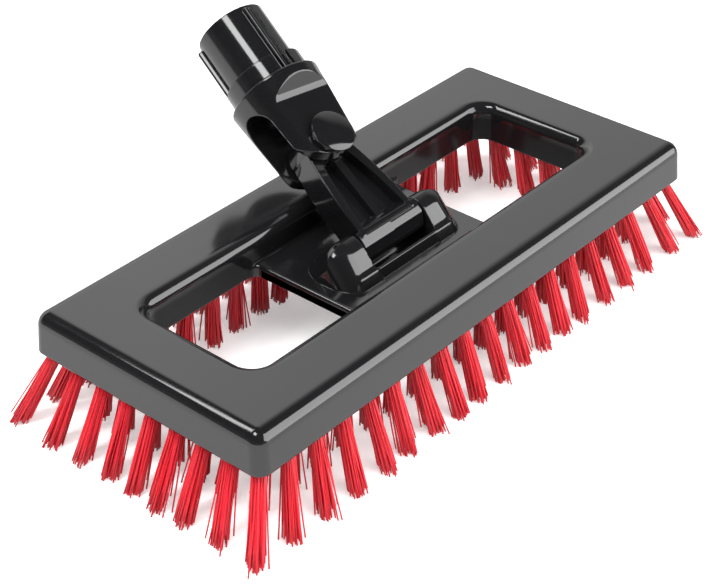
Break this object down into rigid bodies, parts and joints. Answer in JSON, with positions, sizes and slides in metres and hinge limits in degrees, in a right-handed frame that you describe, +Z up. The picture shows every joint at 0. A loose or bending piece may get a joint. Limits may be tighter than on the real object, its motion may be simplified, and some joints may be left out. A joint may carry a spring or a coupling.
{
  "type": "floor scrub brush",
  "caption": "Rectangular floor scrub brush head with open windows, splayed bristle rows under its rails and a tilting, swinging socket for a handle.",
  "frame": {"origin": "centre of the bridge's underside, which is level with the underside of the whole block", "axes": "+X along the block's long side, +Y towards the side the socket leans to, +Z up out of the block's top"},
  "size_m": [0.2504, 0.1409, 0.1022],
  "materials": {
    "block_plastic": "moulded, glossy",
    "swivel_plastic": "moulded, glossy",
    "bristle_filament": "extruded filament, semi-gloss",
    "axle_steel": "drawn bar"
  },
  "bodies": {
    "head": {"brush_block": "block_plastic", "bristles_front": "bristle_filament", "bristles_back": "bristle_filament", "bristles_left": "bristle_filament", "bristles_right": "bristle_filament", "tilt_axle": "axle_steel"},
    "link": {"swivel_link": "swivel_plastic"},
    "socket": {"handle_socket": "swivel_plastic", "swing_pin": "swivel_plastic", "pin_cap": "swivel_plastic"}
  },
  "joints": [
    {"name": "link_tilt", "type": "hinge", "parent": "head", "child": "link", "pos_m": [0, -0.0022, 0.0114], "axis": [1, 0, 0], "range_deg": [0, 113]},
    {"name": "socket_swing", "type": "hinge", "parent": "link", "child": "socket", "pos_m": [0, 0.02843, 0.03144], "axis": [0, -0.5476, 0.8368], "range_deg": [-68, 82]}
  ]
}
